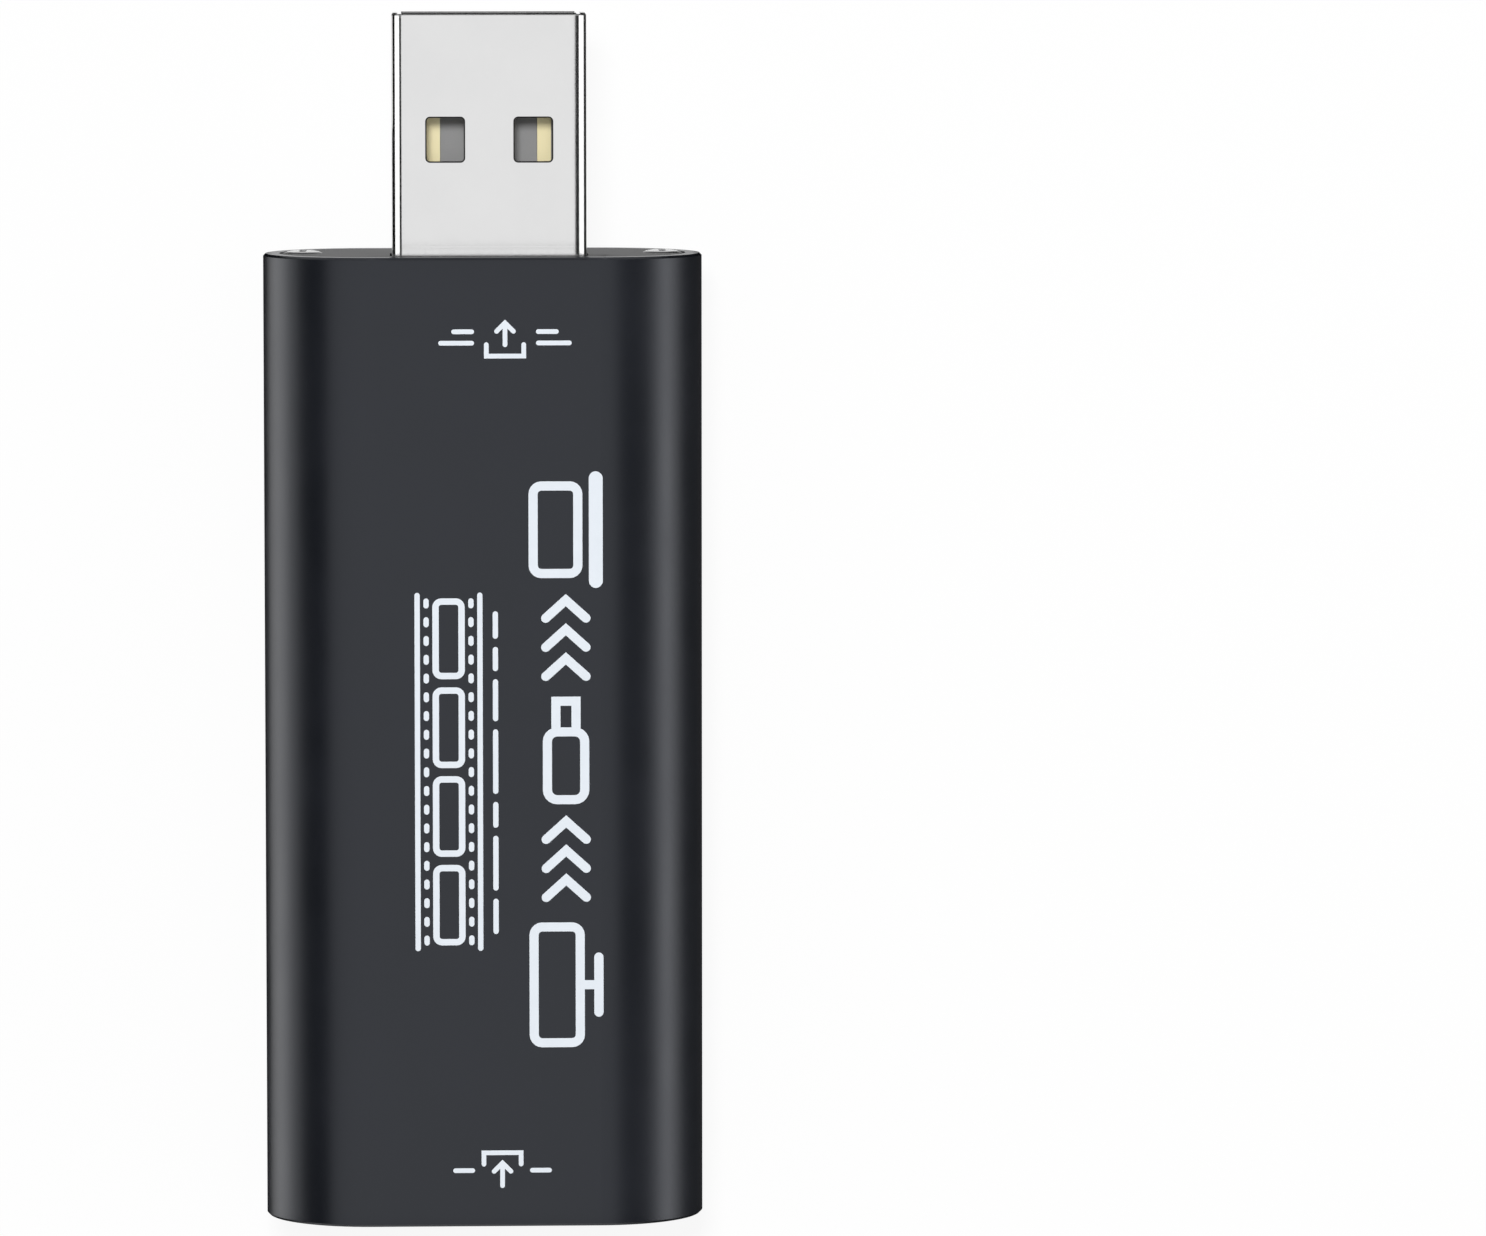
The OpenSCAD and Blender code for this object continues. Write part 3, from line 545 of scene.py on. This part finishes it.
def buildPrint(sign):
    points, faces, first = [], [], 0
    for number, line in enumerate(sign["strokes"]):
        path = line["points"]
        if sign["turned"]:
            path = np.stack([-path[:, 1], path[:, 0]], axis=1)
        path = (path + sign["middle"]) * mm + np.array(sleeveMiddle.xy)
        top = sleeveHigh.z + printLook["proud"] + printLook["layer"] * (number % printLook["layers"])
        grid, closed = inkStroke(path, line["half"] * mm, line["closed"], top)
        count, ring = grid.shape[:2]
        index = first + np.arange(count * ring).reshape(count, ring)
        ahead = np.roll(index, -1, axis=0) if closed else index[1:]
        here = index if closed else index[:-1]
        quads = np.stack([here, np.roll(here, -1, axis=1), np.roll(ahead, -1, axis=1), ahead], axis=-1)
        faces += quads.reshape(-1, 4).tolist()
        if not closed:
            faces += [index[0][::-1].tolist(), index[-1].tolist()]
        points.append(grid.reshape(-1, 3))
        first += count * ring
    piece = meshObject(sign["name"], np.vstack(points), faces, materials["white_ink"], smooth=False)
    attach(piece, "root")


for sign in signs:
    buildPrint(sign)
print("print laid:", len(signs), "signs")


# Rolled rims of the plug's latch windows: a bead that lines each opening, whose dark tone is painted shade
# for the dark edges of the openings
rimLook = {
    "width": 2.46 * mm, "length": 2.84 * mm, "corner": 0.3 * mm, "pitch": 5.42 * mm, "fromMouth": 6.36 * mm,
    "shellHeight": 4.5 * mm, "sheet": 0.3 * mm, "bead": 0.085 * mm, "drop": 0.1 * mm,
    "sunk": 0.01 * mm,  # how far the bead goes into the wall
    "below": 0.0025 * mm,  # how far it starts below the face
    "cornerSteps": 9, "rollSteps": 8,
}


def windowRim(middleX, mouth, face, inward):
    # Window's outline is four quarter circles, and the bead's section is carried along it: a quarter
    # ellipse from the face into the opening, down the sheet's thickness and back inside the wall
    look = rimLook
    angle = np.radians(np.linspace(0, 90, look["cornerSteps"])) + np.radians([[0], [90], [180], [270]])
    half = np.array([look["width"], look["length"]]) / 2
    corners = (half - look["corner"]) * np.array([[1, 1], [-1, 1], [-1, -1], [1, -1]])
    corners = np.repeat(corners, look["cornerSteps"], axis=0)
    outward = np.stack([np.cos(angle.ravel()), np.sin(angle.ravel())], axis=1)
    roll = np.radians(np.linspace(0, 90, look["rollSteps"]))
    into = np.concatenate([[-look["sunk"]], look["bead"] * np.sin(roll), [look["bead"], -look["sunk"]]])
    down = np.concatenate([[0], look["drop"] * (1 - np.cos(roll)), [look["sheet"], look["sheet"]]])
    if inward > 0:
        into, down = into[::-1], down[::-1]
    middle = np.array([middleX, mouth - look["fromMouth"] - half[1]])
    flat = middle + corners[:, None] + (look["corner"] - into)[None, :, None] * outward[:, None]
    height = np.broadcast_to(face + inward * (down + look["below"]), flat.shape[:2])
    return np.concatenate([flat, height[..., None]], axis=2)


def buildRims():
    low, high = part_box("plug_shell")
    middle = (low.x + high.x) / 2
    points, faces, first = [], [], 0
    for face, inward in ((high.z, -1), (high.z - rimLook["shellHeight"], 1)):
        for way in (-1, 1):
            grid = windowRim(middle + way * rimLook["pitch"] / 2, high.y, face, inward)
            index = first + np.arange(grid[..., 0].size).reshape(grid.shape[:2])
            ahead, beside = np.roll(index, -1, axis=0), np.roll(index, -1, axis=1)
            quads = np.stack([index, ahead, np.roll(ahead, -1, axis=1), beside], axis=-1)
            faces += quads.reshape(-1, 4).tolist()
            points.append(grid.reshape(-1, 3))
            first += index.size
    # The rims' dark material is painted shade
    piece = meshObject("windowRims", np.vstack(points), faces, materials["window_rim_painted_shade"])
    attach(piece, "root")


buildRims()
print("window rims built")


# Screws with a domed head, a tapered cross recess and a cut thread, one piece for each end, with painted
# shade in the recess and round the rim
screwLook = {
    "domePower": 4, "countersink": 0.48 * mm,
    "shankRadius": 0.69 * mm, "point": 0.8 * mm,
    "threadDepth": 0.13 * mm, "threadRound": 0.7, "pitch": 0.42 * mm,
    "armHalf": 0.19 * mm, "armReach": 0.84 * mm, "edgeSoft": 0.05 * mm,
    "recessDepth": 0.46 * mm, "recessTaper": 0.45, "leastRecess": 0.3,
    "paintedShadeTone": (0.05, 0.05, 0.052),  # painted shade down in the recess and round the rim
    "paintedRimShade": (0.8, 0.93),  # shares of the head's radius between which that painted shade sets in
    "wallShade": 6.0,  # how soon the painted shade sets in down the recess's walls
    "turns": 96, "headRings": 44, "headSpread": 0.9, "shankRings": 130,
    "rest": {"plugEndScrews": 4.0, "socketEndScrews": 61.0},  # how far each recess is turned, in degrees
}


def paintShadeOnScrews(material, look):
    # Painted shade: the tone is mixed towards a dark one by the piece's own shade attribute
    tree = material.node_tree
    tone = tree.nodes["Principled BSDF"].inputs["Base Color"]
    paintedShade = addNode(tree, "ShaderNodeAttribute", attribute_name="paintedShade").outputs["Fac"]
    tree.links.new(mixTones(tree, paintedShade, tone.links[0].from_socket, rgba(look["paintedShadeTone"])), tone)


def softStep(value):
    value = np.clip(value, 0, 1)
    return value * value * (3 - 2 * value)


def screwRings(headRadius, dome, length, turn):
    # Rings round the axis from the middle of the head out, down the countersink and the thread to the
    # point. Head height is -dome x (r / R)^power less the recess, whose mask is the larger of two
    # soft-edged arms. Thread radius is the shank's less depth x a rounded wave of height / pitch less
    # the share of a turn.
    look = screwLook
    soft = look["edgeSoft"]
    angle = np.linspace(0, 2 * math.pi, look["turns"], endpoint=False)[None, :]
    r = (headRadius * np.linspace(0, 1, look["headRings"])[1:] ** look["headSpread"])[:, None]
    x, y = r * np.cos(angle - turn), r * np.sin(angle - turn)
    arms = [softStep((look["armHalf"] - np.abs(a)) / soft + 0.5)
            * softStep((look["armReach"] - np.abs(b)) / (2 * soft) + 0.5) for a, b in ((x, y), (y, x))]
    mask = np.maximum(*arms)
    taper = (1 - look["recessTaper"] * r / look["armReach"]).clip(look["leastRecess"], 1)
    recess = look["recessDepth"] * mask * taper
    headHeight = -dome * (r / headRadius) ** look["domePower"] - recess
    # Painted shade: dark on the recess's walls and in a ring round the rim, carried to the material as the
    # shade attribute
    rimFrom, rimTo = look["paintedRimShade"]
    rim = softStep((r / headRadius - rimFrom) / (rimTo - rimFrom))
    paintedShade = np.maximum(softStep(look["wallShade"] * mask), rim)
    down = np.linspace(0, 1, look["shankRings"])[:-1, None] * (length - dome - look["countersink"])
    below = dome + look["countersink"] + down
    phase = down / look["pitch"] - angle / (2 * math.pi)
    groove = look["threadDepth"] * (0.5 - 0.5 * np.cos(2 * math.pi * phase)) ** look["threadRound"]
    narrowing = np.minimum(1, (length - below) / look["point"])
    shank = (look["shankRadius"] - groove * softStep(down / look["pitch"])) * narrowing
    radius = np.vstack([np.broadcast_to(r, headHeight.shape), shank])
    height = np.vstack([headHeight, np.broadcast_to(-below, shank.shape)])
    paintedShade = np.vstack([paintedShade, np.zeros_like(shank)])
    return radius * np.cos(angle), radius * np.sin(angle), height, paintedShade


def ringFaces(rings, turns, first):
    # Quads between the rings and a fan of triangles at each pole; the poles are the first and last point
    index = first + 1 + np.arange(rings * turns).reshape(rings, turns)
    nextTo = np.roll(index, -1, axis=1)
    quads = np.stack([index[:-1], index[1:], nextTo[1:], nextTo[:-1]], axis=-1).reshape(-1, 4)
    startFan = np.stack([np.full(turns, first), index[0], nextTo[0]], axis=1)
    endFan = np.stack([index[-1], np.full(turns, index[-1, -1] + 1), nextTo[-1]], axis=1)
    return quads.tolist() + startFan.tolist() + endFan.tolist()


def buildScrews(name, node, outward):
    low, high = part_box(node)
    headRadius = (high.z - low.z) / 2
    axisX = high.x - headRadius
    plateFace = sleeveHigh.y if outward > 0 else sleeveLow.y
    crown, point = (high.y, low.y) if outward > 0 else (low.y, high.y)
    dome, length = abs(crown - plateFace), abs(crown - point)
    points, paintedShades, faces, first = [], [], [], 0
    for side in (-1, 1):
        turn = math.radians(screwLook["rest"][name]) * side
        across, up, height, paintedShade = screwRings(headRadius, dome, length, turn)
        rings, turns = across.shape
        poles = [[0, 0, -screwLook["recessDepth"]], [0, 0, -length]]
        grid = np.vstack([poles[:1], np.stack([across, up, height], axis=-1).reshape(-1, 3), poles[1:]])
        points.append(np.stack([side * axisX - outward * grid[:, 0], crown + outward * grid[:, 2],
                                (low.z + high.z) / 2 + grid[:, 1]], axis=1))
        paintedShades.append(np.concatenate([[1], paintedShade.ravel(), [0]]))
        faces += ringFaces(rings, turns, first)
        first += len(grid)
    piece = meshObject(name, np.vstack(points), faces, materials["screw_steel"])
    # Shade attribute: where the screw's tone is darkened as painted shade
    piece.data.attributes.new("paintedShade", "FLOAT", "POINT").data.foreach_set("value", np.concatenate(paintedShades))
    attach(piece, "root")
    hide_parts(node)


paintShadeOnScrews(materials["screw_steel"], screwLook)
buildScrews("plugEndScrews", "plug_end_screws", 1)
buildScrews("socketEndScrews", "socket_end_screws", -1)
print("screws built")


# Stage: a white floor, a white surround, a soft key lamp, a low strip lamp, and cards for the gloss
stage = {
    "floorSize": 12.0,
    "floorGap": 0.02 * mm,
    "floorTone": (0.93, 0.93, 0.93),
    "floorLift": 0.9,  # share of the floor that is plain white for camera, gloss and glass
    "ambient": 0.3,
    "key": {"place": (-0.08, 0.27, 0.855), "size": (0.2, 0.2), "radiance": 47.0},
    "strip": {"place": (0.5, -0.01, 0.097), "size": (0.6, 0.146), "radiance": 2.15},
}


def seenDirectly(tree):
    # 1 for camera, glossy and transmission rays, and 0 for the rest
    path = addNode(tree, "ShaderNodeLightPath").outputs
    either = mathNode(tree, "MAXIMUM", path["Is Camera Ray"], path["Is Glossy Ray"])
    return mathNode(tree, "MAXIMUM", either, path["Is Transmission Ray"])


def buildFloor():
    half = stage["floorSize"] / 2
    material = bpy.data.materials.new("whiteFloor")
    material.use_nodes = True
    tree = material.node_tree
    tree.nodes.clear()
    matte = addNode(tree, "ShaderNodeBsdfDiffuse", {"Color": rgba(stage["floorTone"])})
    plain = addNode(tree, "ShaderNodeEmission", {"Color": (1, 1, 1, 1), "Strength": 1.0})
    share = mathNode(tree, "MULTIPLY", seenDirectly(tree), stage["floorLift"])
    mix = addNode(tree, "ShaderNodeMixShader", {0: share, 1: matte.outputs[0], 2: plain.outputs[0]})
    addNode(tree, "ShaderNodeOutputMaterial", {"Surface": mix.outputs[0]})
    corners = np.array([[-1, -1, 0], [1, -1, 0], [1, 1, 0], [-1, 1, 0]]) * half
    corners[:, 2] = sleeveLow.z - stage["floorGap"]
    meshObject("floor", corners, [(0, 1, 2, 3)], material, smooth=False)


def buildSurround():
    world = bpy.data.worlds.new("whiteSurround")
    world.use_nodes = True
    bpy.context.scene.world = world
    tree = world.node_tree
    back = tree.nodes["Background"]
    back.inputs["Color"].default_value = (1, 1, 1, 1)
    level = addNode(tree, "ShaderNodeMapRange", {
        "Value": seenDirectly(tree), "To Min": stage["ambient"], "To Max": 1.0,
    }).outputs[0]
    tree.links.new(level, back.inputs["Strength"])


def addLamp(name, place, size, radiance, inGloss):
    # Lamp power is radiance x pi x area
    data = bpy.data.lights.new(name, "AREA")
    data.shape = "RECTANGLE"
    data.size, data.size_y = size
    data.energy = radiance * math.pi * size[0] * size[1]
    lamp = bpy.data.objects.new(name, data)
    bpy.context.scene.collection.objects.link(lamp)
    lamp.location = place
    lamp.rotation_euler = (sleeveMiddle - Vector(place)).to_track_quat("-Z", "Y").to_euler()
    lamp.visible_camera = False
    lamp.visible_glossy = inGloss


def addCard(name, corners, faces, radiance):
    # A black or glowing card that only glossy rays see
    material = bpy.data.materials.new(name)
    material.use_nodes = True
    tree = material.node_tree
    tree.nodes.clear()
    glow = addNode(tree, "ShaderNodeEmission", {"Color": (1, 1, 1, 1), "Strength": radiance})
    addNode(tree, "ShaderNodeOutputMaterial", {"Surface": glow.outputs[0]})
    card = meshObject(name, corners, faces, material, smooth=False)
    card.visible_camera = card.visible_diffuse = card.visible_shadow = card.visible_transmission = False


# Cards that shape the gloss: lowest and highest corner in mm, flat along one axis, and radiance.
# The last six stand close to the plug's bends and draw their thin dark and white lines.
side, plugFace = sleeveHigh.x / mm, sleeveHigh.y / mm
plugLow, plugHigh = [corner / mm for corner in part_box("plug_shell")]
left, right, crest = plugLow.x, plugHigh.x, plugHigh.z
start, stop = plugFace + 0.03, plugHigh.y + 1.5  # along the plug
ground = 0.4  # level of the cards that lie on the floor
tip = plugHigh.y + 0.5
leftWall, rightWall, roof = left - 1.2, right + 1.2, crest + 1.1  # near cards beside and above the bends
leftSplit, rightSplit = crest - 0.03, crest - 0.22  # where each near wall turns from dark to white
cards = {
    "leftCard": ((-60, -75, 16.5), (-60, 40, 62.7), 0.0),
    "rightCard": ((27, -75, 60), (94, 40, 60), 0.12),
    "plugEndFloor": ((-side, plugFace + 0.2, ground), (side, 70, ground), 1.0),
    "rightFloor": ((side + 0.1, -90, ground), (60, 30, ground), 0.05),
    "leftFloor": ((-20, -90, ground), (-side - 0.1, 30, ground), 0.0),
    "leftFloorGlow": ((-65, -90, ground), (-25, 45, ground), 2.0),
    "plugRightFloor": ((side + 0.1, 30, ground), (64, 46, ground), 0.05),
    "plugTip": ((left + 0.6, tip, crest - 0.15), (right - 0.6, tip, crest + 0.3), 0.0),
    "plugLeftFlag": ((left - 0.14, start, roof), (left + 0.38, stop, roof), 0.0),
    "plugLeftGlow": ((leftWall, start, leftSplit), (leftWall, stop, crest + 3), 1.5),
    "plugLeftSkirt": ((leftWall, start, crest - 1.25), (leftWall, stop, leftSplit), 0.0),
    "plugRightFlag": ((right - 0.69, start, roof), (right + 0.12, stop, roof), 0.03),
    "plugRightGlow": ((rightWall, start, rightSplit), (rightWall, stop, crest + 2.75), 1.5),
    "plugRightSkirt": ((rightWall, start, crest - 2.55), (rightWall, stop, rightSplit), 0.03),
}
# Dark collar round the upper half of each end, which keeps the sleeve's thin edge dark
collar = {"away": 0.5 * mm, "reach": 1.4 * mm, "lean": 0.048, "from": -25, "to": 90, "steps": 30}


def cardCorners(low, high):
    # The flat axis is the one whose two ends are the same; the corners run round the other two
    flat = int(np.argmin(np.abs(np.subtract(high, low))))
    first, second = [axis for axis in range(3) if axis != flat]
    corners = np.tile(np.array(low, float), (4, 1))
    corners[1:3, first] = high[first]
    corners[2:4, second] = high[second]
    return corners * mm


def collarStrip(end, outward):
    # Sleeve's outline carried out by 0 and by reach: half the flat to each side of a circle's points,
    # at a distance from the end that shrinks by lean x the reach
    radius = (sleeveHigh.z - sleeveLow.z) / 2
    angle = np.radians(np.linspace(collar["from"], collar["to"], collar["steps"]))
    angle = np.concatenate([angle, math.pi - angle[::-1]])
    middle = (sleeveHigh.x - radius) * np.repeat([1, -1], collar["steps"])
    reach = np.array([[0], [collar["reach"]]])
    across = middle + (radius + reach) * np.cos(angle)
    up = sleeveMiddle.z + (radius + reach) * np.sin(angle)
    along = np.broadcast_to(end + outward * (collar["away"] - collar["lean"] * reach), across.shape)
    index = np.arange(across.size).reshape(across.shape)
    quads = np.stack([index[0, :-1], index[0, 1:], index[1, 1:], index[1, :-1]], axis=1)
    return np.stack([across, along, up], axis=-1).reshape(-1, 3), quads.tolist()


buildFloor()
buildSurround()
addLamp("keyLamp", inGloss=False, **stage["key"])
addLamp("stripLamp", inGloss=True, **stage["strip"])
for name, (low, high, radiance) in cards.items():
    addCard(name, cardCorners(low, high), [(0, 1, 2, 3)], radiance)
addCard("plugEndCollar", *collarStrip(sleeveHigh.y, 1), 0.0)
addCard("socketEndCollar", *collarStrip(sleeveLow.y, -1), 0.0)
print("stage built")
